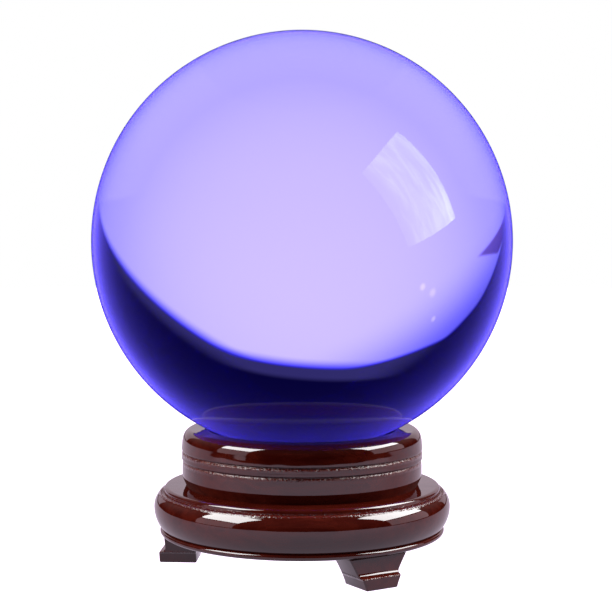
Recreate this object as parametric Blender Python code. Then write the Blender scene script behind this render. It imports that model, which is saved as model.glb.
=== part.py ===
"""Crystal ball on its turned stand.

A solid glass ball rests in the rounded seat of a hollow turned collar. The
collar is screwed down on a round moulded base from below, and the base stands
on three small bracket feet, each held by glue and two dowels. The axis of the
ball and the stand is Z, and the feet stand on Z = 0. Lengths are in metres.
"""
from math import asin, copysign, cos, pi, radians, sin, sqrt

import bmesh
import bpy

# The air left between two pieces that touch.
GAP = 0.0003

# The glass ball.
BALL_RADIUS = 0.0750
BALL_SIDES = 48

# The collar, from its top edge down: a rounded shoulder, a groove, a bead, a
# groove, a plain band and an undercut that leads to the base.
COLLAR_RADIUS = 0.0435
COLLAR_WALL = 0.0108
SEAT_ROUND = 0.0020
SHOULDER_INSET = 0.0036
SHOULDER_DROP = 0.0044
SHOULDER_HEIGHT = 0.0073
GROOVE_WIDTH = 0.0010
GROOVE_DEPTH = 0.0007
BEAD_HEIGHT = 0.0023
BAND_HEIGHT = 0.0052
BAND_INSET = 0.0003
UNDERCUT_HEIGHT = 0.0032
UNDERCUT_INSET = 0.0015

# The base, from its top down: a rounded step, a full bullnose, a quirk and a
# thin lip that turns under.
BASE_LEDGE = 0.0099
STEP_INSET = 0.0037
STEP_ROUND = 0.0013
STEP_HEIGHT = 0.0020
STEP_QUIRK = 0.0004
BULLNOSE_TOP_INSET = 0.0025
BULLNOSE_RISE = 0.0054
BULLNOSE_FALL = 0.0075
BULLNOSE_BOTTOM_INSET = 0.0019
LIP_INSET = 0.0021
LIP_QUIRK = 0.0005
LIP_HEIGHT = 0.0024
LIP_ROUND = 0.0020

# One foot, seen from its side: a straight back, a hollowed face and a toe.
FOOT_ANGLES = (radians(32.0), radians(149.0), radians(266.0))
FOOT_NAMES = ("foot_front_right", "foot_rear", "foot_left")
FOOT_HEIGHT = 0.0109
FOOT_SETBACK = 0.0021
FOOT_LENGTH = 0.0135
FOOT_TOP_WIDTH = 0.0236
FOOT_SOLE_WIDTH = 0.0126
FOOT_FLARE = 1.25
TOE_HEIGHT = 0.0042
TOE_REACH = 0.0024
TOE_HOLLOW = 0.0014
TOE_SLOPE = 0.0004
FOOT_EDGE = 0.0007

# The dowels that hold each foot.
DOWEL_RADIUS = 0.0020
DOWEL_LENGTH = 0.0120
DOWEL_IN_FOOT = 0.0052
DOWEL_SPACING = 0.0090
DOWEL_CHAMFER = 0.0004

# The countersunk screws that hold the collar.
SCREW_RADIUS = 0.0020
SCREW_LENGTH = 0.0300
SCREW_HEAD_RADIUS = 0.0040
SCREW_HEAD_RIM = 0.0004
SCREW_POINT = 0.0040
SCREW_SINK = 0.0005
SCREW_BORE_RUN = 0.0020
RECESS_SPAN = 0.0044
RECESS_WIDTH = 0.0010
RECESS_DEPTH = 0.0016

TURNED_SIDES = 64
SMALL_SIDES = 24
SOFT_EDGE_ANGLE = radians(35.0)

# Heights and radii that follow from the sizes above.
BASE_BOTTOM = FOOT_HEIGHT + GAP
BASE_THICKNESS = STEP_HEIGHT + BULLNOSE_RISE + BULLNOSE_FALL + LIP_HEIGHT
BASE_TOP = BASE_BOTTOM + BASE_THICKNESS
BASE_RADIUS = COLLAR_RADIUS + BASE_LEDGE
LIP_RADIUS = BASE_RADIUS - LIP_INSET
COLLAR_BOTTOM = BASE_TOP + GAP
COLLAR_HEIGHT = (SHOULDER_HEIGHT + 2 * GROOVE_WIDTH + BEAD_HEIGHT
                 + BAND_HEIGHT + UNDERCUT_HEIGHT)
COLLAR_TOP = COLLAR_BOTTOM + COLLAR_HEIGHT
BORE_RADIUS = COLLAR_RADIUS - COLLAR_WALL
COLLAR_FOOT_RADIUS = COLLAR_RADIUS - BAND_INSET - UNDERCUT_INSET
SEAT_CENTRE_RADIUS = BORE_RADIUS + SEAT_ROUND
BALL_CENTRE = (COLLAR_TOP - SEAT_ROUND
               + sqrt((BALL_RADIUS + SEAT_ROUND + GAP) ** 2
                      - SEAT_CENTRE_RADIUS ** 2))
TOE_RADIUS = BASE_RADIUS - FOOT_SETBACK
FOOT_BACK_RADIUS = TOE_RADIUS - FOOT_LENGTH
FOOT_FACE_RADIUS = TOE_RADIUS - TOE_REACH
DOWEL_CIRCLE = (FOOT_BACK_RADIUS + FOOT_FACE_RADIUS) / 2
DOWEL_BOTTOM = FOOT_HEIGHT - DOWEL_IN_FOOT
SCREW_CIRCLE = (BORE_RADIUS + COLLAR_FOOT_RADIUS) / 2
SCREW_BOTTOM = BASE_BOTTOM + SCREW_SINK


def clear_scene():
    """Start from an empty file."""
    for leftover in list(bpy.data.objects):
        bpy.data.objects.remove(leftover)


def make_material(name, colour, roughness, metallic):
    """A plain Principled finish."""
    finish = bpy.data.materials.new(name)
    finish.use_nodes = True
    shader = finish.node_tree.nodes["Principled BSDF"]
    shader.inputs["Base Color"].default_value = (*colour, 1.0)
    shader.inputs["Roughness"].default_value = roughness
    shader.inputs["Metallic"].default_value = metallic
    finish.diffuse_color = (*colour, 1.0)
    return finish


def make_object(name, mesh_builder, finish=None, smooth=True):
    """Turn a finished bmesh into a named object with one material."""
    mesh = bpy.data.meshes.new(name)
    mesh_builder.to_mesh(mesh)
    mesh_builder.free()
    if smooth:
        mesh.shade_smooth()
        mesh.set_sharp_from_angle(angle=SOFT_EDGE_ANGLE)
    thing = bpy.data.objects.new(name, mesh)
    bpy.context.scene.collection.objects.link(thing)
    if finish:
        mesh.materials.append(finish)
    return thing


def make_cutter(name, mesh_builder):
    """An object that only shapes others."""
    cutter = make_object(name, mesh_builder, smooth=False)
    cutter.hide_render = True
    cutter.display_type = "WIRE"
    return cutter


def cut(thing, cutter):
    """Take the cutter's shape out of a piece."""
    modifier = thing.modifiers.new(cutter.name, "BOOLEAN")
    modifier.operation = "DIFFERENCE"
    modifier.object = cutter


def arc(centre, radii, start, end, steps):
    """Points of an arc in the (radius, height) plane, both ends included."""
    points = []
    for step in range(steps + 1):
        angle = radians(start + (end - start) * step / steps)
        points.append((centre[0] + radii[0] * cos(angle),
                       centre[1] + radii[1] * sin(angle)))
    return points


def turn(outline, sides, closed=False):
    """Spin an outline of (radius, height) points about Z into a solid."""
    turned = bmesh.new()
    verts = [turned.verts.new((radius, 0.0, height)) for radius, height in outline]
    pairs = list(zip(verts, verts[1:]))
    if closed:
        pairs.append((verts[-1], verts[0]))
    edges = [turned.edges.new(pair) for pair in pairs]
    bmesh.ops.spin(turned, geom=verts + edges, cent=(0, 0, 0), axis=(0, 0, 1),
                   angle=2 * pi, steps=sides, use_merge=True)
    bmesh.ops.remove_doubles(turned, verts=turned.verts, dist=1e-6)
    bmesh.ops.recalc_face_normals(turned, faces=turned.faces)
    return turned


def polar(radius, angle, side=0.0):
    """The point at a radius on an angle from -Y, shifted sideways."""
    return (radius * sin(angle) + side * cos(angle),
            -radius * cos(angle) + side * sin(angle))


def make_ball(finish):
    """The solid glass ball, with its origin at its centre."""
    sphere = bmesh.new()
    bmesh.ops.create_uvsphere(sphere, u_segments=BALL_SIDES,
                              v_segments=BALL_SIDES // 2, radius=BALL_RADIUS)
    ball = make_object("crystal_ball", sphere, finish)
    ball.location.z = BALL_CENTRE
    return ball


def collar_outline():
    """The collar's wall, from the seat round out, down and back."""
    shoulder_flat = COLLAR_RADIUS - SHOULDER_INSET
    groove_1 = COLLAR_TOP - SHOULDER_HEIGHT
    bead = groove_1 - GROOVE_WIDTH
    groove_2 = bead - BEAD_HEIGHT
    band = groove_2 - GROOVE_WIDTH
    band_radius = COLLAR_RADIUS - BAND_INSET
    groove_radius = COLLAR_RADIUS - GROOVE_DEPTH
    outline = arc((SEAT_CENTRE_RADIUS, COLLAR_TOP - SEAT_ROUND),
                  (SEAT_ROUND, SEAT_ROUND), 180, 90, 5)
    outline += arc((shoulder_flat, COLLAR_TOP - SHOULDER_DROP),
                   (SHOULDER_INSET, SHOULDER_DROP), 90, 0, 6)
    outline += [(COLLAR_RADIUS, groove_1),
                (groove_radius, groove_1 - GROOVE_WIDTH / 2),
                (COLLAR_RADIUS, bead),
                (COLLAR_RADIUS, groove_2),
                (groove_radius, groove_2 - GROOVE_WIDTH / 2),
                (band_radius, band),
                (band_radius, COLLAR_BOTTOM + UNDERCUT_HEIGHT),
                (COLLAR_FOOT_RADIUS, COLLAR_BOTTOM),
                (BORE_RADIUS, COLLAR_BOTTOM)]
    return outline


def swell(radius, height, inset, rise, steps):
    """Points of a round that is upright where it starts and leans in to its end."""
    bend = (inset ** 2 + rise ** 2) / (2 * inset)
    reach = asin(rise / bend)
    points = []
    for step in range(steps + 1):
        angle = reach * step / steps
        points.append((radius - bend + bend * cos(angle), height + bend * sin(angle)))
    return points


def base_outline():
    """Half of the base's section, from its middle out and back."""
    step_radius = BASE_RADIUS - STEP_INSET
    step_foot = BASE_TOP - STEP_HEIGHT
    bulge = step_foot - BULLNOSE_RISE
    lip_top = BASE_BOTTOM + LIP_HEIGHT
    rise = swell(BASE_RADIUS, bulge, BULLNOSE_TOP_INSET, BULLNOSE_RISE, 6)
    fall = swell(BASE_RADIUS, bulge, BULLNOSE_BOTTOM_INSET, -BULLNOSE_FALL, 5)
    outline = [(0.0, BASE_TOP)]
    outline += arc((step_radius - STEP_ROUND, BASE_TOP - STEP_ROUND),
                   (STEP_ROUND, STEP_ROUND), 90, 0, 3)
    outline += [(step_radius - STEP_QUIRK, step_foot)]
    outline += rise[::-1]
    outline += fall[1:]
    outline += [(LIP_RADIUS - LIP_QUIRK, lip_top - LIP_QUIRK / 2)]
    outline += arc((LIP_RADIUS - LIP_ROUND, lip_top - LIP_QUIRK),
                   (LIP_ROUND, LIP_HEIGHT - LIP_QUIRK), 0, -90, 4)
    outline += [(0.0, BASE_BOTTOM)]
    return outline


def foot_sections():
    """The foot's level sections, from the sole up: height, face and half width."""
    hollow_centre = (FOOT_FACE_RADIUS + TOE_HOLLOW, TOE_HEIGHT + TOE_SLOPE + TOE_HOLLOW)
    side = [(TOE_RADIUS, 0.0), (TOE_RADIUS, TOE_HEIGHT / 2), (TOE_RADIUS, TOE_HEIGHT)]
    side += arc(hollow_centre, (TOE_HOLLOW, TOE_HOLLOW), 270, 180, 4)
    straight = FOOT_HEIGHT - hollow_centre[1]
    for step in (1, 2, 3):
        side.append((FOOT_FACE_RADIUS, hollow_centre[1] + straight * step / 3))
    sections = []
    for face, height in side:
        flare = (height / FOOT_HEIGHT) ** FOOT_FLARE
        width = FOOT_SOLE_WIDTH + (FOOT_TOP_WIDTH - FOOT_SOLE_WIDTH) * flare
        sections.append((height, face, width / 2))
    return sections


def make_foot(name, angle, finish):
    """One bracket foot, drawn up from its sole section by section."""
    solid = bmesh.new()
    sections = foot_sections()
    middle = (FOOT_BACK_RADIUS + FOOT_FACE_RADIUS) / 2
    sole = [solid.verts.new(place) for place in
            ((0, -1, 0), (0, 1, 0), (1, 1, 0), (1, -1, 0))]
    for corner in sole:
        corner.co.x = TOE_RADIUS if corner.co.x else FOOT_BACK_RADIUS
        corner.co.y *= FOOT_SOLE_WIDTH / 2
    face = solid.faces.new(sole)
    for height, reach, half_width in sections[1:]:
        region = [face, *face.edges, *face.verts]
        drawn = bmesh.ops.extrude_face_region(solid, geom=region)["geom"]
        face = next(item for item in drawn if isinstance(item, bmesh.types.BMFace))
        for corner in face.verts:
            corner.co.x = reach if corner.co.x > middle else FOOT_BACK_RADIUS
            corner.co.y = copysign(half_width, corner.co.y)
            corner.co.z = height
    bmesh.ops.holes_fill(solid, edges=solid.edges, sides=4)
    bmesh.ops.recalc_face_normals(solid, faces=solid.faces)
    foot = make_object(name, solid, finish, smooth=False)
    foot.rotation_euler.z = angle - pi / 2
    edge = foot.modifiers.new("eased_edges", "BEVEL")
    edge.width = FOOT_EDGE
    edge.segments = 2
    edge.limit_method = "ANGLE"
    edge.angle_limit = SOFT_EDGE_ANGLE
    return foot


def dowel_outline(clearance):
    """Half of a chamfered dowel, or of the hole around it."""
    radius = DOWEL_RADIUS + clearance
    length = DOWEL_LENGTH + clearance
    return [(0.0, length), (radius - DOWEL_CHAMFER, length),
            (radius, length - DOWEL_CHAMFER), (radius, DOWEL_CHAMFER - clearance),
            (radius - DOWEL_CHAMFER, -clearance), (0.0, -clearance)]


def screw_outline(clearance):
    """Half of a countersunk screw, head down, or of the hole around it."""
    head = SCREW_HEAD_RADIUS + clearance
    shank = SCREW_RADIUS + clearance
    face = -SCREW_BORE_RUN if clearance else 0.0
    neck = SCREW_HEAD_RIM + SCREW_HEAD_RADIUS - SCREW_RADIUS
    return [(0.0, SCREW_LENGTH + 2 * clearance), (shank, SCREW_LENGTH - SCREW_POINT),
            (shank, neck), (head, SCREW_HEAD_RIM), (head, face), (0.0, face)]


def recess_cross():
    """The cross that is pressed into a screw's head."""
    half_span = RECESS_SPAN / 2
    half_width = RECESS_WIDTH / 2
    arm = [(half_width, half_width), (half_width, half_span), (-half_width, half_span)]
    cross = bmesh.new()
    corners = []
    for quarter in range(4):
        turn_by = quarter * pi / 2
        for x, y in arm:
            corners.append(cross.verts.new((x * cos(turn_by) - y * sin(turn_by),
                                            x * sin(turn_by) + y * cos(turn_by),
                                            -SCREW_BORE_RUN)))
    face = cross.faces.new(corners)
    drawn = bmesh.ops.extrude_face_region(cross, geom=[face])["geom"]
    raised = [item for item in drawn if isinstance(item, bmesh.types.BMVert)]
    bmesh.ops.translate(cross, verts=raised, vec=(0, 0, SCREW_BORE_RUN + RECESS_DEPTH))
    bmesh.ops.recalc_face_normals(cross, faces=cross.faces)
    return cross


def place(thing, spot, height):
    """Set a piece or a cutter upright at a spot."""
    thing.location = (spot[0], spot[1], height)
    return thing


def fit_dowels(foot, number, angle, base, finish):
    """Two dowels from a foot up into the base, with the holes for them."""
    for side, word in ((-1, "a"), (1, "b")):
        spot = polar(DOWEL_CIRCLE, angle, side * DOWEL_SPACING / 2)
        hole = make_cutter(f"dowel_hole_{number}{word}",
                           turn(dowel_outline(GAP), SMALL_SIDES))
        place(hole, spot, DOWEL_BOTTOM)
        cut(foot, hole)
        cut(base, hole)
        dowel = make_object(f"dowel_{number}{word}",
                            turn(dowel_outline(0.0), SMALL_SIDES), finish)
        place(dowel, spot, DOWEL_BOTTOM)


def fit_screw(number, angle, base, collar, finish):
    """One screw from below the base into the collar, with the hole for it."""
    spot = polar(SCREW_CIRCLE, angle)
    hole = make_cutter(f"screw_hole_{number}", turn(screw_outline(GAP), SMALL_SIDES))
    place(hole, spot, SCREW_BOTTOM)
    cut(base, hole)
    cut(collar, hole)
    screw = make_object(f"screw_{number}", turn(screw_outline(0.0), SMALL_SIDES), finish)
    place(screw, spot, SCREW_BOTTOM)
    recess = make_cutter(f"screw_recess_{number}", recess_cross())
    place(recess, spot, SCREW_BOTTOM)
    cut(screw, recess)


def main():
    """Build the whole object."""
    clear_scene()
    glass = make_material("violet_glass", (0.25, 0.17, 0.95), 0.02, 0.0)
    lacquer = make_material("red_brown_lacquer", (0.09, 0.02, 0.012), 0.15, 0.0)
    beech = make_material("beech", (0.55, 0.37, 0.2), 0.6, 0.0)
    zinc = make_material("zinc_plate", (0.6, 0.58, 0.52), 0.3, 1.0)
    make_ball(glass)
    collar = make_object("collar_ring",
                         turn(collar_outline(), TURNED_SIDES, closed=True), lacquer)
    base = make_object("base_disc", turn(base_outline(), TURNED_SIDES), lacquer)
    for number, (name, angle) in enumerate(zip(FOOT_NAMES, FOOT_ANGLES), 1):
        foot = make_foot(name, angle, lacquer)
        fit_dowels(foot, number, angle, base, beech)
    next_angles = FOOT_ANGLES[1:] + (FOOT_ANGLES[0] + 2 * pi,)
    for number, (angle, after) in enumerate(zip(FOOT_ANGLES, next_angles), 1):
        fit_screw(number, (angle + after) / 2, base, collar, zinc)


main()
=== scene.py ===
"""Finish, set and camera for a violet crystal ball on its lacquered stand."""

from math import asin, atan2, copysign, cos, pi, radians, sin

import bmesh
import bpy
from mathutils import Matrix, Quaternion, Vector


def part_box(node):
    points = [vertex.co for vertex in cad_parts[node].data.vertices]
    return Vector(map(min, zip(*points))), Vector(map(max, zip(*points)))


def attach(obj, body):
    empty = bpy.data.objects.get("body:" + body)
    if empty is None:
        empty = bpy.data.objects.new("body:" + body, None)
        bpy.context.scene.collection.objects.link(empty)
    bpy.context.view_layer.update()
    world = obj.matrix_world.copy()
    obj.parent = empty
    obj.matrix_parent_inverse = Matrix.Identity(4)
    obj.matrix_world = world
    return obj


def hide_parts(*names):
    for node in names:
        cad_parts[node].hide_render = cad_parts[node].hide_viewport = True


MM = 0.001

# How finely the pieces are made.
RING_STEPS = 360
SMALL_STEPS = 48
THREAD_STEPS = 24
BALL_LEVELS = 7
SMOOTH_ANGLE = radians(40)
LONGEST_STRETCH = 1.5 * MM
WELD_DISTANCE = 1e-7

# The ball.
BALL_CLEARANCE = 0.01 * MM
GLASS_IOR = 1.52
GLASS_VIOLET = (0.13, 0.05, 0.99, 1.0)
GLASS_DENSITY = 12.0

# The finishes.
STAIN_DARK = (0.023, 0.0016, 0.0009, 1)
STAIN_LIGHT = (0.046, 0.0046, 0.0024, 1)
STAIN_POOLED = (0.07, 0.009, 0.005, 1)
TURNED_GRAIN = (60, 420, 420)
FOOT_GRAIN = (300, 300, 300)
RIPPLE_HEIGHT = 0.12
BEAD_SWELL = 0.75
LACQUER_DEPTH = 0.6 * MM
LACQUER_ROUGHNESS = 0.04
LACQUER_IOR = 1.5
COLLAR_POOL = 1.3 * MM
BASE_POOL = 0.9 * MM
FOOT_POOL = 0.7 * MM
BEECH_DARK = (0.42, 0.25, 0.12, 1)
BEECH_LIGHT = (0.62, 0.43, 0.24, 1)
BEECH_GRAIN = (1500, 1500, 120)
ZINC_DARK = (0.62, 0.5, 0.26, 1)
ZINC_LIGHT = (0.75, 0.66, 0.45, 1)

# The collar.
COLLAR_WALL = 10.8 * MM
SEAT_ROUND = 2.0 * MM
SHOULDER_INSET = 3.6 * MM
SHOULDER_DROP = 4.4 * MM
ROLL_HEIGHT = 7.3 * MM
ROLL_LEAN = 0.33 * MM
GROOVE_WIDTH = 1.0 * MM
GROOVE_DEPTH = 0.7 * MM
BEAD_HEIGHT = 2.3 * MM
BAND_INSET = 0.3 * MM
UNDERCUT_HEIGHT = 3.2 * MM
UNDERCUT_INSET = 1.5 * MM
COLLAR_SIT = 0.02 * MM
ROLL_SKIRT = 0.5 * MM
GROOVE_RIM = 0.1 * MM
GROOVE_RIM_EASE = 0.35 * MM
GROOVE_FLOOR_EASE = 0.25 * MM
GROOVE_FLOOR_AT = 0.45
BEAD_TOP_INSET = 0.2 * MM
BAND_TOP_INSET = 0.15 * MM
BAND_TAPER = 1.4 * MM
BAND_EASE = 0.3 * MM
UNDERCUT_EASE = 0.4 * MM
EASE_REACH = 0.45

# The base.
STEP_INSET = 3.7 * MM
STEP_ROUND = 1.3 * MM
STEP_HEIGHT = 2.0 * MM
BULLNOSE_TOP_INSET = 2.5 * MM
BULLNOSE_RISE = 5.4 * MM
BULLNOSE_BOTTOM_INSET = 2.7 * MM
BULLNOSE_FALL = 7.5 * MM
LIP_INSET = 2.1 * MM
TOP_FLAT_INSET = 6.0 * MM
STEP_FOOT_RISE = 0.5 * MM
STEP_CUT = 0.15 * MM
STEP_CUT_DROP = 0.1 * MM
STEP_CUT_EASE = 0.2 * MM
STEP_LEDGE = 0.5 * MM
QUIRK_DEPTH = 0.2 * MM
QUIRK_DROP = 0.1 * MM
LIP_SQUASH = 0.05 * MM
SOLE_RING = 9.0 * MM
BORE_CLEARANCE = 0.3 * MM
BORE_RIM = 0.9 * MM
BORE_CONE = 2.2 * MM

# The screws and the dowels.
SCREW_RADIUS = 2.0 * MM
SCREW_HEAD_RADIUS = 4.0 * MM
SCREW_HEAD_RIM = 0.4 * MM
SCREW_POINT = 4.0 * MM
SCREW_SMOOTH = 7.0 * MM
SCREW_PITCH = 1.6 * MM
SCREW_CORE = 0.72
SCREW_SHANK = 0.92
SCREW_TIP = 0.35
SCREW_TIP_DROP = 0.9 * MM
SCREW_SHANK_END = 0.4 * MM
SCREW_HEAD_EASE = 0.08 * MM
THREAD_HALF = 0.32 * MM
THREAD_BITE = 0.9
THREAD_END = 0.6
THREAD_NARROWEST = 0.25
RECESS_SPAN = 4.4 * MM
RECESS_WIDTH = 1.0 * MM
RECESS_DEPTH = 1.6 * MM
RECESS_TAPER = 0.75
DOWEL_CHAMFER = 0.4 * MM
DOWEL_FLUTES = 12
DOWEL_FLUTE_DEPTH = 0.18 * MM

# The feet, by degrees round from the front towards the right.
FOOT_ANGLES = {"foot_front_right": 32, "foot_rear": 149, "foot_left": 266}
FOOT_HEIGHT = 11.18 * MM
FOOT_BACK = 37.8 * MM
FOOT_FACE = 48.9 * MM
TOE_RADIUS = 51.3 * MM
FOOT_TOP_WIDTH = 23.6 * MM
FOOT_SOLE_WIDTH = 12.6 * MM
FOOT_FLARE = 1.25
TOE_HEIGHT = 4.2 * MM
TOE_SLOPE = 0.4 * MM
TOE_HOLLOW = 1.4 * MM
FOOT_EASE = 0.55 * MM
FOOT_CORNER = radians(24)

# The camera, in metres and degrees.
CAMERA_DISTANCE = 0.600
CAMERA_HEIGHT = 0.1373
CAMERA_TILT = 4.24
CAMERA_TURN = 0.135
CAMERA_LENS = 98.5

# The set: the table, and straight edges as (height, slope, softness) in degrees.
TABLE_RADIUS = 1.6
TABLE_GLOW = (1.0, 0.85, 1.05, 1)
TABLE_NEAR, TABLE_FAR = 1.3, 0.8
TABLE_TO_EYE = 1.9
TABLE_TO_WOOD = 0.3
BACKDROP_EDGES = ((19.8, -0.12, 1.5), (24.9, -0.504, 1.7), (23.2, 0.13, 0.7),
                  (37.7, 0.56, 0.8), (56.0, 0.96, 0.8))
BACKDROP_SHADE = (27.5, 0.5, 9.0)
BACKDROP_SHADED = 0.24
BACKDROP_MIDDLE = 2.0
BACKDROP_REACH = 50.0
BACKDROP_GLOW = (3.35, 1.8)
FOLD_INNER = (17.2, 0.38, 0.5)
FOLD_OUTER = ((35.5, 0.62, 0.5), (1.5, 0.0, 0.5))
FOLD_SHADE = -0.62
FOLD_GREEN = -0.28
BACKDROP_GREEN = 0.96
TABLE_SEEN = 2.0
SHELF_EDGES = ((24.0, -0.12, 1.0), (29.0, -0.504, 2.5), (36.0, 0.55, 5.0))
SHELF_GLOW = 0.13
GLINTS = (((-22.3, 6.2, 0.0), 1.0, 0.9), ((-25.2, 7.6, 0.0), 1.3, 0.7),
          ((-27.0, 13.2, 0.0), 0.9, 0.9))
GLINT_CORE = 0.2
PANEL_START, PANEL_GROWTH, PANEL_MOST = 66.5, 7.5, 2.6
PANEL_TINT = (0.5, 0.42, 0.8)
PANEL_GLOW = 2.0
PANEL_OVERHEAD = 0.18
ROOM_GLOW = (0.005, 0.002, 0.034)
LACQUER_VIEW = (0.04, 0.3)

# The lights: side and rise in degrees, sizes in metres.
LIGHT_DISTANCE = 1.0
STAND_AIM = (0, 0, 0.04)
SOFTBOXES = (("left_softbox", -111, 0.6), ("right_softbox", 90, 0.76))
SOFTBOX_RISE, SOFTBOX_HEIGHT, SOFTBOX_STRENGTH = 41, 0.54, 19.0
SKIRT_RISE, SKIRT_HEIGHT, SKIRT_STRENGTH = 12, 0.4, 1.5
SKIRT_TINT = (1.0, 0.78, 0.88)
WINDOW_SIDE, WINDOW_RISE, WINDOW_ROLL = 116, 24, 20
WINDOW_SIZE = (0.64, 0.78)
WINDOW_AIM = (0, 0, 0.116)
WINDOW_GLOW = 3.2
WINDOW_TINT = (0.8, 1, 1, 1)
CARD_RISE, CARD_SIZE, CARD_STRENGTH = 20, (1.6, 0.7), 0.7
CARD_TINT = (1.0, 0.85, 1.0)

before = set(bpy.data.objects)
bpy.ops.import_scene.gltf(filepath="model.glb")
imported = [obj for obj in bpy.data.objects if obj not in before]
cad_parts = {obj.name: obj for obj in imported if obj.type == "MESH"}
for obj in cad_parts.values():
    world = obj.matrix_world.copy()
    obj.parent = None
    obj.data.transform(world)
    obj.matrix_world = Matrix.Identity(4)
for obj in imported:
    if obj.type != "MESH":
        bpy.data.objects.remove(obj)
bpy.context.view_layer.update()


# ---------------------------------------------------------------- node helpers

def new_material(name):
    """An empty node material and its output."""
    finish = bpy.data.materials.new(name)
    finish.use_nodes = True
    tree = finish.node_tree
    tree.nodes.clear()
    output = tree.nodes.new("ShaderNodeOutputMaterial")
    return finish, tree, output


def add(tree, kind, values=None, **settings):
    """A node with its settings and its input values or links."""
    made = tree.nodes.new("ShaderNode" + kind)
    for setting, value in settings.items():
        setattr(made, setting, value)
    for key, value in (values or {}).items():
        if isinstance(value, bpy.types.NodeSocket):
            tree.links.new(value, made.inputs[key])
        else:
            made.inputs[key].default_value = value
    return made


def maths(tree, operation, *values):
    """A Math node's result."""
    made = tree.nodes.new("ShaderNodeMath")
    made.operation = operation
    for slot, value in enumerate(values):
        if isinstance(value, bpy.types.NodeSocket):
            tree.links.new(value, made.inputs[slot])
        else:
            made.inputs[slot].default_value = value
    return made.outputs[0]


def ramp_between(tree, value, low, high, start=0.0, end=1.0, smooth=True):
    """A value that runs from start to end as the input goes from low to high."""
    made = add(tree, "MapRange", {"Value": value, "From Min": low, "From Max": high,
                                  "To Min": start, "To Max": end},
               interpolation_type="SMOOTHSTEP" if smooth else "LINEAR")
    return made.outputs["Result"]


# ------------------------------------------------------------------- materials

def violet_glass():
    """Solid crystal glass that is violet through its body."""
    finish, tree, output = new_material("violet_glass")
    glass = add(tree, "BsdfGlass", {"Color": (1, 1, 1, 1), "Roughness": 0.0, "IOR": GLASS_IOR})
    body = add(tree, "VolumeAbsorption", {"Color": GLASS_VIOLET, "Density": GLASS_DENSITY})
    tree.links.new(glass.outputs[0], output.inputs["Surface"])
    tree.links.new(body.outputs[0], output.inputs["Volume"])
    return finish


def red_lacquer(name, pooled, spread, grain_way):
    """Red-brown stain with a faint grain under gloss lacquer that has pooled at some heights."""
    finish, tree, output = new_material(name)
    place = add(tree, "TexCoord").outputs["Object"]
    along = add(tree, "Mapping", {"Vector": place, "Scale": grain_way})
    grain = add(tree, "TexNoise", {"Vector": along.outputs[0], "Scale": 1.0, "Detail": 5.0,
                                   "Roughness": 0.65, "Distortion": 0.3})
    drift = add(tree, "TexNoise", {"Vector": place, "Scale": 55.0, "Detail": 2.0})
    shade = maths(tree, "MULTIPLY_ADD", drift.outputs["Fac"], 0.5, grain.outputs["Fac"])
    shade = ramp_between(tree, shade, 0.5, 1.0)
    stain = add(tree, "Mix", {"Factor": shade, "A": STAIN_DARK, "B": STAIN_LIGHT},
                data_type="RGBA")
    # The flow of the lacquer: a soft ripple everywhere, and runs and beads where it pooled.
    ripple = add(tree, "TexNoise", {"Vector": place, "Scale": 130.0, "Detail": 1.0})
    runs = add(tree, "TexNoise", {"Vector": place, "Scale": 1100.0, "Detail": 2.0,
                                  "Roughness": 0.7})
    height = add(tree, "SeparateXYZ", {"Vector": place}).outputs["Z"]
    pools = None
    for level in pooled:
        off = maths(tree, "ABSOLUTE", maths(tree, "SUBTRACT", height, level))
        near = ramp_between(tree, off, 0.0, spread, 1.0, 0.0)
        pools = near if pools is None else maths(tree, "MAXIMUM", pools, near)
    surface = maths(tree, "MULTIPLY", ripple.outputs["Fac"], RIPPLE_HEIGHT)
    beads = maths(tree, "MULTIPLY", runs.outputs["Fac"], pools)
    surface = maths(tree, "MULTIPLY_ADD", beads, BEAD_SWELL, surface)
    bump = add(tree, "Bump", {"Height": surface, "Distance": LACQUER_DEPTH, "Strength": 1.0})
    thick = maths(tree, "MULTIPLY", pools, ramp_between(tree, runs.outputs["Fac"], 0.35, 0.65))
    stain = add(tree, "Mix", {"Factor": thick, "A": stain.outputs["Result"], "B": STAIN_POOLED},
                data_type="RGBA")
    shader = add(tree, "BsdfPrincipled", {
        "Base Color": stain.outputs["Result"], "Roughness": 0.5, "IOR": 1.5,
        "Specular IOR Level": 0.0, "Coat Weight": 1.0, "Coat Roughness": LACQUER_ROUGHNESS,
        "Coat IOR": LACQUER_IOR, "Normal": bump.outputs[0], "Coat Normal": bump.outputs[0]})
    tree.links.new(shader.outputs[0], output.inputs["Surface"])
    return finish


def bare_beech():
    """Pale dowel wood."""
    finish, tree, output = new_material("bare_beech")
    place = add(tree, "TexCoord").outputs["Object"]
    along = add(tree, "Mapping", {"Vector": place, "Scale": BEECH_GRAIN})
    grain = add(tree, "TexNoise", {"Vector": along.outputs[0], "Scale": 1.0, "Detail": 3.0})
    tone = add(tree, "Mix", {"Factor": grain.outputs["Fac"], "A": BEECH_DARK, "B": BEECH_LIGHT},
               data_type="RGBA")
    shader = add(tree, "BsdfPrincipled", {"Base Color": tone.outputs["Result"],
                                          "Roughness": 0.6})
    tree.links.new(shader.outputs[0], output.inputs["Surface"])
    return finish


def yellow_zinc():
    """Yellow zinc plate on steel."""
    finish, tree, output = new_material("yellow_zinc")
    place = add(tree, "TexCoord").outputs["Object"]
    cloud = add(tree, "TexNoise", {"Vector": place, "Scale": 600.0, "Detail": 3.0})
    tone = add(tree, "Mix", {"Factor": cloud.outputs["Fac"], "A": ZINC_DARK, "B": ZINC_LIGHT},
               data_type="RGBA")
    rough = ramp_between(tree, cloud.outputs["Fac"], 0.3, 0.7, 0.22, 0.38)
    shader = add(tree, "BsdfPrincipled", {"Base Color": tone.outputs["Result"],
                                          "Roughness": rough, "Metallic": 1.0})
    tree.links.new(shader.outputs[0], output.inputs["Surface"])
    return finish


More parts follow.
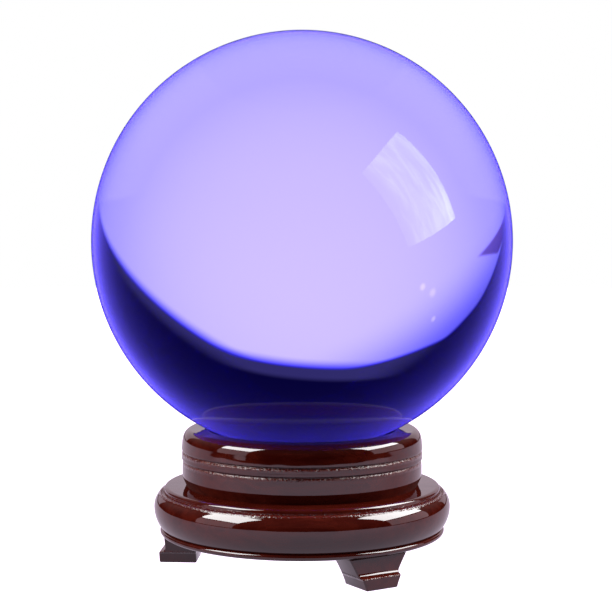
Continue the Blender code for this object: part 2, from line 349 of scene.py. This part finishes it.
# -------------------------------------------------------------- making a piece

def arc(centre, radii, start, end, steps):
    """Points of an arc in the (radius, height) plane, both ends included."""
    points = []
    for step in range(steps + 1):
        angle = radians(start + (end - start) * step / steps)
        points.append((centre[0] + radii[0] * cos(angle),
                       centre[1] + radii[1] * sin(angle)))
    return points


def turn(outline, steps, closed=False):
    """Spin an outline of (radius, height) points about the upright axis."""
    turned = bmesh.new()
    verts = [turned.verts.new((radius, 0.0, height)) for radius, height in outline]
    pairs = list(zip(verts, verts[1:]))
    if closed:
        pairs.append((verts[-1], verts[0]))
    edges = [turned.edges.new(pair) for pair in pairs]
    bmesh.ops.spin(turned, geom=verts + edges, cent=(0, 0, 0), axis=(0, 0, 1),
                   angle=2 * pi, steps=steps, use_merge=True)
    bmesh.ops.remove_doubles(turned, verts=turned.verts, dist=WELD_DISTANCE)
    bmesh.ops.recalc_face_normals(turned, faces=turned.faces)
    return turned


def finish_piece(name, shape, finish, body, stands_for):
    """Put a finished shape into the frame as one piece."""
    mesh = bpy.data.meshes.new(name)
    shape.to_mesh(mesh)
    shape.free()
    mesh.shade_smooth()
    mesh.set_sharp_from_angle(angle=SMOOTH_ANGLE)
    mesh.materials.append(finish)
    piece = bpy.data.objects.new(name, mesh)
    bpy.context.scene.collection.objects.link(piece)
    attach(piece, body)
    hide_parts(stands_for)
    return piece


# -------------------------------------------------------------------- the ball

def make_ball(finish):
    """A true polished sphere."""
    low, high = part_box("crystal_ball")
    sphere = bmesh.new()
    bmesh.ops.create_icosphere(sphere, subdivisions=BALL_LEVELS,
                               radius=(high.x - low.x) / 2 - BALL_CLEARANCE)
    bmesh.ops.translate(sphere, verts=sphere.verts, vec=(low + high) / 2)
    return finish_piece("polished_ball", sphere, finish, "ball",
                        "crystal_ball")


# ------------------------------------------------------------------- the stand

def eased(points, steps):
    """Round each marked corner. A point is (radius, height) or (radius, height, ease)."""
    rounded = []
    for i, point in enumerate(points):
        ease = point[2] if len(point) > 2 else 0.0
        here = Vector(point[:2])
        if ease <= 0 or i in (0, len(points) - 1):
            rounded.append(tuple(here))
            continue
        before = Vector(points[i - 1][:2])
        after = Vector(points[i + 1][:2])
        back, onward = before - here, after - here
        cut_in = here + back.normalized() * min(ease, back.length * EASE_REACH)
        cut_out = here + onward.normalized() * min(ease, onward.length * EASE_REACH)
        for step in range(steps + 1):
            t = step / steps
            spot = cut_in * (1 - t) ** 2 + here * 2 * t * (1 - t) + cut_out * t ** 2
            rounded.append(tuple(spot))
    return rounded


def subdivided(points, longest):
    """Add points so that no stretch is longer than asked."""
    dense = [points[0]]
    for start, end in zip(points, points[1:]):
        a, b = Vector(start), Vector(end)
        pieces = max(1, int((b - a).length / longest + 0.999))
        for step in range(1, pieces + 1):
            dense.append(tuple(a.lerp(b, step / pieces)))
    return dense


def collar_outline():
    """The collar's wall, from the seat round out, down and back."""
    low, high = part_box("collar_ring")
    radius, top = high.x, high.z
    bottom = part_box("base_disc")[1].z + COLLAR_SIT
    bore = radius - COLLAR_WALL
    roll_foot = top - ROLL_HEIGHT
    bead_foot = roll_foot - GROOVE_WIDTH - BEAD_HEIGHT
    band_top = bead_foot - GROOVE_WIDTH
    band_foot = low.z + UNDERCUT_HEIGHT
    band = radius - BAND_INSET
    outline = arc((bore + SEAT_ROUND, top - SEAT_ROUND), (SEAT_ROUND, SEAT_ROUND),
                  180, 90, 12)
    outline += arc((radius - SHOULDER_INSET, top - SHOULDER_DROP),
                   (SHOULDER_INSET - ROLL_LEAN, SHOULDER_DROP), 90, 6, 22)
    floor_drop = GROOVE_WIDTH * GROOVE_FLOOR_AT
    outline += eased([
        (radius - ROLL_LEAN, top - SHOULDER_DROP + ROLL_SKIRT),
        (radius, roll_foot + GROOVE_RIM, GROOVE_RIM_EASE),
        (radius - GROOVE_DEPTH, roll_foot - floor_drop, GROOVE_FLOOR_EASE),
        (radius - BEAD_TOP_INSET, roll_foot - GROOVE_WIDTH, BAND_EASE),
        (radius, bead_foot + GROOVE_RIM, GROOVE_RIM_EASE),
        (radius - GROOVE_DEPTH, bead_foot - floor_drop, GROOVE_FLOOR_EASE),
        (band - BAND_TOP_INSET, band_top, BAND_EASE),
        (band, band_top - BAND_TAPER, BAND_EASE),
        (band, band_foot, UNDERCUT_EASE),
        (band - UNDERCUT_INSET, bottom)], 6)
    outline += [(bore, bottom)]
    outline.append(outline[0])
    return subdivided(outline, LONGEST_STRETCH)[:-1]


def swell(radius, height, inset, rise, steps):
    """Points of a round that starts upright and leans in to its end."""
    bend = (inset ** 2 + rise ** 2) / (2 * inset)
    reach = asin(rise / bend)
    points = []
    for step in range(steps + 1):
        angle = reach * step / steps
        points.append((radius - bend + bend * cos(angle), height + bend * sin(angle)))
    return points


def base_outline():
    """Half of the base's section, from its middle out and back."""
    low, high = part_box("base_disc")
    radius, top, bottom = high.x, high.z, low.z
    step_radius = radius - STEP_INSET
    step_foot = top - STEP_HEIGHT
    bulge = step_foot - BULLNOSE_RISE
    belly_foot = bulge - BULLNOSE_FALL
    lip = radius - LIP_INSET
    bead = (belly_foot - bottom) / 2
    outline = [(0.0, top), (step_radius - TOP_FLAT_INSET, top)]
    outline += arc((step_radius - STEP_ROUND, top - STEP_ROUND), (STEP_ROUND, STEP_ROUND),
                   90, 10, 12)
    outline += eased([(step_radius, step_foot + STEP_FOOT_RISE),
                      (step_radius - STEP_CUT, step_foot - STEP_CUT_DROP, STEP_CUT_EASE),
                      (step_radius + STEP_LEDGE, step_foot)], 4)
    outline += swell(radius, bulge, BULLNOSE_TOP_INSET, BULLNOSE_RISE, 24)[::-1][1:]
    outline += swell(radius, bulge, BULLNOSE_BOTTOM_INSET, -BULLNOSE_FALL, 24)[1:]
    outline += [(lip - bead - QUIRK_DEPTH, belly_foot - QUIRK_DROP)]
    outline += arc((lip - bead, bottom + bead), (bead, bead - LIP_SQUASH), 84, -90, 20)
    outline += [(lip - SOLE_RING, bottom)]
    return outline


def ring_edges(shape, spot, radius, height, steps):
    """The edges of a new level ring."""
    made = bmesh.ops.create_circle(shape, cap_ends=False, segments=steps, radius=radius)
    bmesh.ops.translate(shape, verts=made["verts"], vec=(spot[0], spot[1], height))
    return list({edge for vert in made["verts"] for edge in vert.link_edges})


def bore_in(shape, edges, rises):
    """Draw a ring's edges on through radius scales and rises, and close the end."""
    for scale, rise in rises:
        drawn = bmesh.ops.extrude_edge_only(shape, edges=edges)["geom"]
        verts = [item for item in drawn if isinstance(item, bmesh.types.BMVert)]
        edges = [item for item in drawn if isinstance(item, bmesh.types.BMEdge)]
        centre = sum((vert.co for vert in verts), Vector()) / len(verts)
        bmesh.ops.scale(shape, verts=verts, vec=(scale, scale, 1),
                        space=Matrix.Translation(-centre))
        bmesh.ops.translate(shape, verts=verts, vec=(0, 0, rise))
    bmesh.ops.contextual_create(shape, geom=edges)


def base_shape():
    """The turned base, with a countersunk bore under each screw head."""
    shape = turn(base_outline(), RING_STEPS)
    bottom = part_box("base_disc")[0].z
    rim = [edge for edge in shape.edges if edge.is_boundary]
    mouth = SCREW_HEAD_RADIUS + BORE_CLEARANCE
    bores = [ring_edges(shape, spot, mouth, bottom, SMALL_STEPS) for spot in screw_spots()]
    around = [edge for ring in bores for edge in ring]
    bmesh.ops.triangle_fill(shape, use_beauty=True, use_dissolve=False, edges=rim + around)
    neck = (SCREW_RADIUS + BORE_CLEARANCE) / mouth
    for ring in bores:
        bore_in(shape, ring, ((1.0, BORE_RIM), (neck, BORE_CONE)))
    bmesh.ops.recalc_face_normals(shape, faces=shape.faces)
    return shape


def screw_spots():
    """Where the three screws stand."""
    return [(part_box(f"screw_{number}")[0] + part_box(f"screw_{number}")[1]) / 2
            for number in (1, 2, 3)]


def foot_sections():
    """The foot's level sections, from the sole up: height, face and half width."""
    toe_top = TOE_HEIGHT + TOE_SLOPE
    hollow_centre = (FOOT_FACE + TOE_HOLLOW, toe_top + TOE_HOLLOW)
    side = [(TOE_RADIUS, TOE_HEIGHT * step / 4) for step in range(5)]
    side += arc(hollow_centre, (TOE_HOLLOW, TOE_HOLLOW), 270, 180, 10)
    straight = FOOT_HEIGHT - hollow_centre[1]
    side += [(FOOT_FACE, hollow_centre[1] + straight * step / 6) for step in range(1, 7)]
    sections = []
    for face, height in side:
        flare = (height / FOOT_HEIGHT) ** FOOT_FLARE
        width = FOOT_SOLE_WIDTH + (FOOT_TOP_WIDTH - FOOT_SOLE_WIDTH) * flare
        sections.append((height, face, width / 2))
    return sections


def make_foot(name, finish):
    """One bracket foot, drawn up from its sole section by section."""
    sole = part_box(name)[0].z
    angle = radians(FOOT_ANGLES[name])
    solid = bmesh.new()
    bmesh.ops.create_grid(solid, x_segments=1, y_segments=1, size=1.0)
    middle = (FOOT_BACK + FOOT_FACE) / 2
    face = solid.faces[:][0]
    for corner in face.verts:
        corner.co.x = TOE_RADIUS if corner.co.x > 0 else FOOT_BACK
        corner.co.y = copysign(FOOT_SOLE_WIDTH / 2, corner.co.y)
    for height, reach, half_width in foot_sections()[1:]:
        region = [face, *face.edges, *face.verts]
        drawn = bmesh.ops.extrude_face_region(solid, geom=region)["geom"]
        face = next(item for item in drawn if isinstance(item, bmesh.types.BMFace))
        for corner in face.verts:
            corner.co.x = reach if corner.co.x > middle else FOOT_BACK
            corner.co.y = copysign(half_width, corner.co.y)
            corner.co.z = height
    bmesh.ops.holes_fill(solid, edges=solid.edges, sides=4)
    bmesh.ops.rotate(solid, verts=solid.verts, cent=(0, 0, 0),
                     matrix=Matrix.Rotation(angle - pi / 2, 3, "Z"))
    bmesh.ops.translate(solid, verts=solid.verts, vec=(0, 0, sole))
    bmesh.ops.recalc_face_normals(solid, faces=solid.faces)
    sharp = [edge for edge in solid.edges if edge.calc_face_angle(0.0) > FOOT_CORNER]
    bmesh.ops.bevel(solid, geom=sharp, offset=FOOT_EASE, offset_type="OFFSET", segments=4,
                    profile=0.5, affect="EDGES", material=-1, clamp_overlap=True)
    return finish_piece("lacquered_" + name, solid, finish, "stand", name)


def make_screw(name, finish):
    """A countersunk cross-head wood screw, head down, with a rolled thread."""
    low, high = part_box(name)
    middle = (low + high) / 2
    length = high.z - low.z
    neck = SCREW_HEAD_RIM + SCREW_HEAD_RADIUS - SCREW_RADIUS
    core = SCREW_RADIUS * SCREW_CORE
    shank = SCREW_RADIUS * SCREW_SHANK
    start = neck + SCREW_SMOOTH
    outline = [(0.0, length), (core * SCREW_TIP, length - SCREW_TIP_DROP),
               (core, length - SCREW_POINT), (core, start), (shank, start - SCREW_SHANK_END),
               (shank, neck), (SCREW_HEAD_RADIUS, SCREW_HEAD_RIM),
               (SCREW_HEAD_RADIUS, SCREW_HEAD_EASE), (SCREW_HEAD_RADIUS - SCREW_HEAD_EASE, 0.0)]
    shape = turn(outline, SMALL_STEPS)
    rim = [edge for edge in shape.edges if edge.is_boundary]
    # The cross recess: a plus-shaped loop in the head's face, drawn up and in.
    arm, half = RECESS_SPAN / 2, RECESS_WIDTH / 2
    corners = []
    for quarter in range(4):
        spin = Matrix.Rotation(quarter * pi / 2, 3, "Z")
        for x, y in ((half, half), (half, arm), (-half, arm)):
            corners.append(shape.verts.new(spin @ Vector((x, y, 0.0))))
    cross = [shape.edges.new(pair) for pair in zip(corners, corners[1:] + corners[:1])]
    bmesh.ops.triangle_fill(shape, use_beauty=True, use_dissolve=False, edges=rim + cross)
    bore_in(shape, cross, ((RECESS_TAPER, RECESS_DEPTH),))
    bmesh.ops.recalc_face_normals(shape, faces=shape.faces)
    # The thread: a small ridge wound up the core.
    run = length - SCREW_POINT * THREAD_END - start
    turns = int(run / SCREW_PITCH)
    root = core * THREAD_BITE
    ridge = bmesh.new()
    section = [ridge.verts.new((radius, 0.0, start + height)) for radius, height in
               ((root, -THREAD_HALF), (SCREW_RADIUS, 0.0), (root, THREAD_HALF))]
    face = ridge.faces.new(section)
    steps = turns * THREAD_STEPS
    bmesh.ops.spin(ridge, geom=[face, *face.edges, *face.verts], cent=(0, 0, 0),
                   axis=(0, 0, 1), angle=turns * 2 * pi, steps=steps,
                   dvec=(0, 0, turns * SCREW_PITCH / steps))
    taper = length - SCREW_POINT
    for vert in ridge.verts:
        if vert.co.z > taper:
            narrow = max(THREAD_NARROWEST, 1 - (vert.co.z - taper) / SCREW_POINT)
            vert.co.x *= narrow
            vert.co.y *= narrow
    bmesh.ops.recalc_face_normals(ridge, faces=ridge.faces)
    wound = bpy.data.meshes.new("thread")
    ridge.to_mesh(wound)
    ridge.free()
    shape.from_mesh(wound)
    bpy.data.meshes.remove(wound)
    bmesh.ops.translate(shape, verts=shape.verts, vec=(middle.x, middle.y, low.z))
    return finish_piece("threaded_" + name, shape, finish, "stand", name)


def make_dowel(name, finish):
    """A fluted dowel with chamfered ends."""
    low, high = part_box(name)
    middle = (low + high) / 2
    radius = (high.x - low.x) / 2
    shape = bmesh.new()
    bmesh.ops.create_circle(shape, cap_ends=True, segments=DOWEL_FLUTES * 4,
                            radius=radius - DOWEL_CHAMFER)
    face = shape.faces[:][0]
    levels = ((DOWEL_CHAMFER, radius), (high.z - low.z - DOWEL_CHAMFER, radius),
              (high.z - low.z, radius - DOWEL_CHAMFER))
    for height, reach in levels:
        drawn = bmesh.ops.extrude_face_region(shape, geom=[face, *face.edges, *face.verts])
        face = next(item for item in drawn["geom"] if isinstance(item, bmesh.types.BMFace))
        for vert in face.verts:
            flute = 0.5 - 0.5 * cos(DOWEL_FLUTES * atan2(vert.co.y, vert.co.x))
            flat = Vector((vert.co.x, vert.co.y, 0.0)).normalized()
            vert.co = flat * (reach - DOWEL_FLUTE_DEPTH * flute)
            vert.co.z = height
    bmesh.ops.holes_fill(shape, edges=shape.edges, sides=0)
    bmesh.ops.translate(shape, verts=shape.verts, vec=(middle.x, middle.y, low.z))
    bmesh.ops.recalc_face_normals(shape, faces=shape.faces)
    return finish_piece("fluted_" + name, shape, finish, "stand", name)


def make_turned(collar_finish, base_finish):
    """The collar and the base, as the lathe leaves them."""
    finish_piece("turned_collar", turn(collar_outline(), RING_STEPS, closed=True),
                 collar_finish, "stand", "collar_ring")
    finish_piece("turned_base", base_shape(),
                 base_finish, "stand", "base_disc")


# ----------------------------------------------------------------- set and eye

def make_camera():
    """A long lens, a little above the stand and tilted down."""
    lens = bpy.data.cameras.new("camera")
    lens.lens = CAMERA_LENS
    eye = bpy.data.objects.new("camera", lens)
    eye.location = (0.0, -CAMERA_DISTANCE, CAMERA_HEIGHT)
    eye.rotation_euler = (radians(90 - CAMERA_TILT), 0.0, radians(-CAMERA_TURN))
    bpy.context.scene.collection.objects.link(eye)
    bpy.context.scene.camera = eye


def make_floor():
    """A round white table that glows evenly and brighter to the eye than in the lacquer, where
    painted light makes it brighter near the front than further back.
    """
    shape = bmesh.new()
    bmesh.ops.create_circle(shape, cap_ends=True, segments=SMALL_STEPS * 2, radius=TABLE_RADIUS)
    mesh = bpy.data.meshes.new("white_table")
    shape.to_mesh(mesh)
    shape.free()
    table = bpy.data.objects.new("white_table", mesh)
    bpy.context.scene.collection.objects.link(table)
    finish, tree, output = new_material("white_table")
    path = add(tree, "LightPath")
    place = add(tree, "TexCoord").outputs["Object"]
    depth = add(tree, "SeparateXYZ", {"Vector": place}).outputs["Y"]
    # Painted light: in the lacquer the table's glow is brighter near the front and dimmer
    # further back, standing in for the studio light falling off.
    near = ramp_between(tree, depth, -0.12, 0.02, TABLE_NEAR, TABLE_FAR)
    to_eye = maths(tree, "MULTIPLY", path.outputs["Is Camera Ray"], TABLE_TO_EYE)
    near = maths(tree, "MAXIMUM", near, to_eye)
    dull = ramp_between(tree, path.outputs["Is Diffuse Ray"], 0.0, 1.0, 1.0, TABLE_TO_WOOD,
                        smooth=False)
    soft = maths(tree, "MULTIPLY", near, dull)
    shine = add(tree, "Emission", {"Color": TABLE_GLOW, "Strength": soft})
    tree.links.new(shine.outputs[0], output.inputs["Surface"])
    finish.cycles.emission_sampling = "NONE"
    mesh.materials.append(finish)
    table.visible_transmission = False
    return table


def below_edge(tree, side, rise, edge):
    """One straight, soft edge in the set: full below the line, none above it."""
    height, slope, soft = edge
    line = maths(tree, "MULTIPLY_ADD", side, slope, height)
    over = maths(tree, "SUBTRACT", rise, line)
    over = maths(tree, "DIVIDE", over, (1 + slope ** 2) ** 0.5)
    return ramp_between(tree, over, -soft, soft, 1.0, 0.0)


def below_edges(tree, side, rise, edges, start=None):
    """A shape of the set bounded by several soft edges."""
    for edge in edges:
        within = below_edge(tree, side, rise, edge)
        start = within if start is None else maths(tree, "MULTIPLY", start, within)
    return start


def make_studio():
    """A white backdrop and table in a dark room, by direction from the ball."""
    world = bpy.data.worlds.new("studio")
    bpy.context.scene.world = world
    world.use_nodes = True
    world.cycles.sampling_method = "NONE"
    tree = world.node_tree
    tree.nodes.clear()
    way = add(tree, "TexCoord").outputs["Generated"]
    split = add(tree, "SeparateXYZ", {"Vector": way})
    side = maths(tree, "DEGREES", maths(tree, "ARCTAN2", split.outputs["X"],
                                        split.outputs["Y"]))
    rise = maths(tree, "DEGREES", maths(tree, "ARCSINE", split.outputs["Z"]))
    off_back = maths(tree, "DEGREES", maths(tree, "ARCCOSINE", split.outputs["Y"]))
    # The backdrop hangs within straight soft edges and falls into shade towards the left.
    card = below_edges(tree, side, rise, BACKDROP_EDGES)
    shaded = below_edge(tree, side, rise, BACKDROP_SHADE)
    shaded = maths(tree, "MULTIPLY_ADD", shaded, 1 - BACKDROP_SHADED, BACKDROP_SHADED)
    card = maths(tree, "MULTIPLY", card, shaded)
    across = maths(tree, "DIVIDE", side, BACKDROP_REACH)
    down = maths(tree, "DIVIDE", maths(tree, "SUBTRACT", rise, BACKDROP_MIDDLE), BACKDROP_REACH)
    out = maths(tree, "SQRT", maths(tree, "ADD", maths(tree, "MULTIPLY", across, across),
                                    maths(tree, "MULTIPLY", down, down)))
    lit = ramp_between(tree, out, 0.0, 1.0, *BACKDROP_GLOW)
    # A folded corner of the backdrop shows as a darker wedge.
    wedge = maths(tree, "SUBTRACT", 1.0, below_edge(tree, side, rise, FOLD_INNER))
    wedge = below_edges(tree, side, rise, FOLD_OUTER, start=wedge)
    lit = maths(tree, "MULTIPLY", lit, maths(tree, "MULTIPLY_ADD", wedge, FOLD_SHADE, 1.0))
    table = ramp_between(tree, rise, -6.0, -12.0, 0.0, TABLE_SEEN)
    near = maths(tree, "MAXIMUM", maths(tree, "MULTIPLY", card, lit), table)
    # A dim shelf of light stands over the backdrop's upper edge.
    shelf = maths(tree, "MULTIPLY", below_edges(tree, side, rise, SHELF_EDGES), SHELF_GLOW)
    near = maths(tree, "MAXIMUM", near, shelf)
    # Small lamps show as glints.
    flat = add(tree, "CombineXYZ", {"X": side, "Y": rise}).outputs[0]
    for spot, reach, strength in GLINTS:
        away = add(tree, "VectorMath", {0: flat, 1: spot}, operation="DISTANCE")
        glint = ramp_between(tree, away.outputs["Value"], GLINT_CORE, reach, strength, 0.0)
        near = maths(tree, "ADD", near, glint)
    # The room brightens away from the backdrop, towards the soft panels at the sides.
    beyond = maths(tree, "SUBTRACT", off_back, PANEL_START)
    growth = maths(tree, "EXPONENT", maths(tree, "DIVIDE", beyond, PANEL_GROWTH))
    panels = maths(tree, "MINIMUM", growth, PANEL_MOST)
    ahead = ramp_between(tree, off_back, 105.0, 140.0, 1.0, 0.0)
    panels = maths(tree, "MULTIPLY", panels, ahead)
    overhead = ramp_between(tree, rise, 36.0, 62.0, 1.0, PANEL_OVERHEAD)
    panels = maths(tree, "MULTIPLY", panels, overhead)
    panels = maths(tree, "MULTIPLY", panels, PANEL_GLOW)
    dim = add(tree, "VectorMath", {0: PANEL_TINT, "Scale": panels}, operation="SCALE")
    # The blue of the backdrop reaches further into its shaded edges than the rest.
    blue = maths(tree, "MULTIPLY", maths(tree, "SQRT", card), lit)
    green = maths(tree, "MULTIPLY_ADD", wedge, FOLD_GREEN, BACKDROP_GREEN)
    green = maths(tree, "MULTIPLY", near, green)
    full = add(tree, "CombineXYZ", {"X": near, "Y": green,
                                    "Z": maths(tree, "MAXIMUM", near, blue)})
    most = add(tree, "VectorMath", {0: full.outputs[0], 1: dim.outputs[0]},
               operation="MAXIMUM")
    room = add(tree, "VectorMath", {0: most.outputs[0], 1: ROOM_GLOW},
               operation="ADD")
    through = add(tree, "Background", {"Color": room.outputs[0], "Strength": 1.0})
    # The lacquer sees a dark room in front, and the backdrop only faintly.
    behind = ramp_between(tree, off_back, 100.0, 40.0, *LACQUER_VIEW)
    behind = maths(tree, "MULTIPLY", behind, ramp_between(tree, rise, 0.0, 40.0))
    about = add(tree, "Background", {"Color": (1, 1, 1, 1), "Strength": behind})
    seen = add(tree, "Background", {"Color": (1, 1, 1, 1), "Strength": 1.0})
    path = add(tree, "LightPath")
    either = add(tree, "MixShader", {0: path.outputs["Is Transmission Ray"],
                                     1: about.outputs[0], 2: through.outputs[0]})
    either = add(tree, "MixShader", {0: path.outputs["Is Camera Ray"],
                                     1: either.outputs[0], 2: seen.outputs[0]})
    output = tree.nodes.new("ShaderNodeOutputWorld")
    tree.links.new(either.outputs[0], output.inputs["Surface"])


def make_softbox(name, turn_deg, rise_deg, size, strength, aim, roll=0.0):
    """A rectangular light that looks at a point."""
    lamp = bpy.data.lights.new(name, "AREA")
    lamp.shape = "RECTANGLE"
    lamp.size, lamp.size_y = size
    lamp.energy = strength * pi * lamp.size * lamp.size_y
    light = bpy.data.objects.new(name, lamp)
    way = Vector((sin(radians(turn_deg)) * cos(radians(rise_deg)),
                  cos(radians(turn_deg)) * cos(radians(rise_deg)), sin(radians(rise_deg))))
    light.location = Vector(aim) + way * LIGHT_DISTANCE
    facing = way.to_track_quat("Z", "Y") @ Quaternion((0, 0, 1), radians(roll))
    light.rotation_euler = facing.to_euler()
    bpy.context.scene.collection.objects.link(light)
    light.visible_camera = False
    light.visible_transmission = False
    once_mirrored(lamp)
    return light


def once_mirrored(lamp):
    """Show a light in the lacquer directly, but not in a mirror image of the lacquer."""
    lamp.use_nodes = True
    tree = lamp.node_tree
    tree.nodes.clear()
    mirrored = add(tree, "LightPath").outputs["Glossy Depth"]
    strength = maths(tree, "LESS_THAN", mirrored, 1.5)
    shine = add(tree, "Emission", {"Color": (1, 1, 1, 1), "Strength": strength})
    output = tree.nodes.new("ShaderNodeOutputLight")
    tree.links.new(shine.outputs[0], output.inputs["Surface"])


def streak_window(lamp):
    """Curtain streaks across a window light, fading at one side and clearest at a corner."""
    lamp.use_nodes = True
    tree = lamp.node_tree
    tree.nodes.clear()
    place = add(tree, "NewGeometry").outputs["Parametric"]
    split = add(tree, "SeparateXYZ", {"Vector": place})
    drawn = add(tree, "Mapping", {"Vector": place, "Scale": (9.0, 2.2, 1.0)})
    folds = add(tree, "TexNoise", {"Vector": drawn.outputs[0], "Scale": 1.0, "Detail": 5.0,
                                   "Roughness": 0.6, "Distortion": 0.8})
    fold = ramp_between(tree, folds.outputs["Fac"], 0.38, 0.68, 0.72, 1.3)
    corner = add(tree, "VectorMath", {0: place, 1: (0.92, 0.12, 0.0)}, operation="DISTANCE")
    bright = ramp_between(tree, corner.outputs["Value"], 0.05, 0.45, 1.8, 1.0)
    fade = ramp_between(tree, split.outputs["X"], 0.0, 0.35, 0.3, 1.0)
    strength = maths(tree, "MULTIPLY", maths(tree, "MULTIPLY", fold, bright), fade)
    strength = maths(tree, "MULTIPLY", strength, WINDOW_GLOW)
    shine = add(tree, "Emission", {"Color": WINDOW_TINT, "Strength": strength})
    output = tree.nodes.new("ShaderNodeOutputLight")
    tree.links.new(shine.outputs[0], output.inputs["Surface"])


def link_light(light, piece, state):
    """Keep a light to one piece, or off it."""
    group = bpy.data.collections.new(light.name + "_link")
    group.objects.link(piece)
    light.light_linking.receiver_collection = group
    group.collection_objects[0].light_linking.link_state = state


def make_lights(ball):
    """Soft boxes with skirts and a back card for the stand, and a window for the ball."""
    for name, side, width in SOFTBOXES:
        box = make_softbox(name, side, SOFTBOX_RISE, (width, SOFTBOX_HEIGHT), SOFTBOX_STRENGTH,
                           STAND_AIM)
        link_light(box, ball, "EXCLUDE")
        skirt = make_softbox(name + "_skirt", side, SKIRT_RISE, (width, SKIRT_HEIGHT),
                             SKIRT_STRENGTH, STAND_AIM)
        skirt.data.color = SKIRT_TINT
        link_light(skirt, ball, "EXCLUDE")
    window = make_softbox("window", WINDOW_SIDE, WINDOW_RISE, WINDOW_SIZE, 1.0, WINDOW_AIM,
                          roll=WINDOW_ROLL)
    streak_window(window.data)
    link_light(window, ball, "INCLUDE")
    card = make_softbox("back_card", 0, CARD_RISE, CARD_SIZE, CARD_STRENGTH, STAND_AIM)
    card.data.color = CARD_TINT
    link_light(card, ball, "EXCLUDE")


def main():
    """Finish every piece, then set the stage."""
    ball = make_ball(violet_glass())
    upper_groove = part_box("collar_ring")[1].z - ROLL_HEIGHT - GROOVE_WIDTH
    lower_groove = upper_groove - BEAD_HEIGHT - GROOVE_WIDTH
    step_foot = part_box("base_disc")[1].z - STEP_HEIGHT
    make_turned(red_lacquer("collar_lacquer", (upper_groove, lower_groove), COLLAR_POOL,
                            TURNED_GRAIN),
                red_lacquer("base_lacquer", (step_foot,), BASE_POOL, TURNED_GRAIN))
    foot_finish = red_lacquer("foot_lacquer", (TOE_HEIGHT,), FOOT_POOL, FOOT_GRAIN)
    for name in FOOT_ANGLES:
        make_foot(name, foot_finish)
    beech, zinc = bare_beech(), yellow_zinc()
    for name in list(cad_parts):
        if name.startswith("dowel"):
            make_dowel(name, beech)
        elif name.startswith("screw"):
            make_screw(name, zinc)
    make_camera()
    link_light(make_floor(), ball, "EXCLUDE")
    make_studio()
    make_lights(ball)
    bpy.context.scene.view_settings.view_transform = "Standard"
    bpy.context.scene.view_settings.look = "None"


main()
